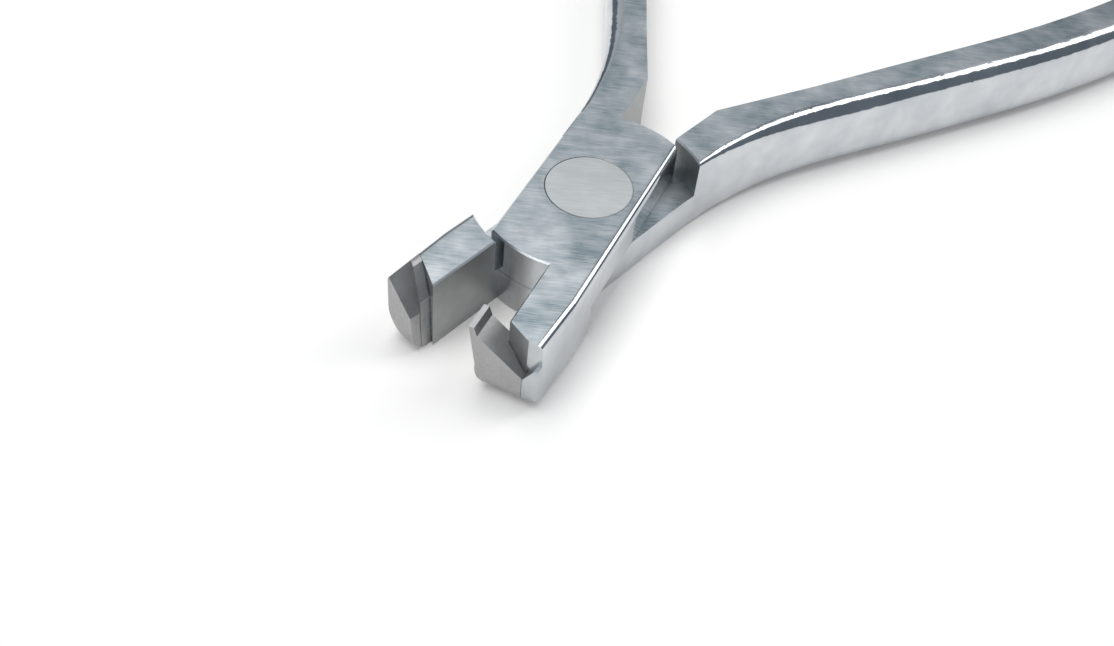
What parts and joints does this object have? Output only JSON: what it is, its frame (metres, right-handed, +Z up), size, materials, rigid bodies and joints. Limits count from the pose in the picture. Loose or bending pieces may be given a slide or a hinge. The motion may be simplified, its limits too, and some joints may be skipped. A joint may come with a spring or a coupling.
{
  "type": "orthodontic pliers",
  "caption": "Hand pliers with two lapped steel halves on a flush rivet, short square jaws with carbide tips, and long outward-bowed handles.",
  "frame": {"origin": "on the rivet's axis, in the flat lower face of the head on which the pliers rest", "axes": "+Z up along the rivet's axis, -Y towards the jaws, +Y along the handles, +X to the handle of the lower half"},
  "size_m": [0.0802, 0.1301, 0.0065],
  "materials": {
    "steel": "satin ground flats, polished rounded sides",
    "rivet_steel": "ground flush with the head",
    "carbide": "fine ground, dull grey",
    "braze": "thin solder line"
  },
  "bodies": {
    "lower_half": {"lower_half": "steel", "lower_carbide_tip": "carbide", "lower_braze": "braze", "pivot_rivet": "rivet_steel"},
    "upper_half": {"upper_half": "steel", "upper_carbide_tip": "carbide", "upper_braze": "braze"}
  },
  "joints": [
    {"name": "pivot", "type": "hinge", "parent": "lower_half", "child": "upper_half", "pos_m": [0, 0, 0.00325], "axis": [0, 0, 1], "range_deg": [-13, 14]}
  ]
}
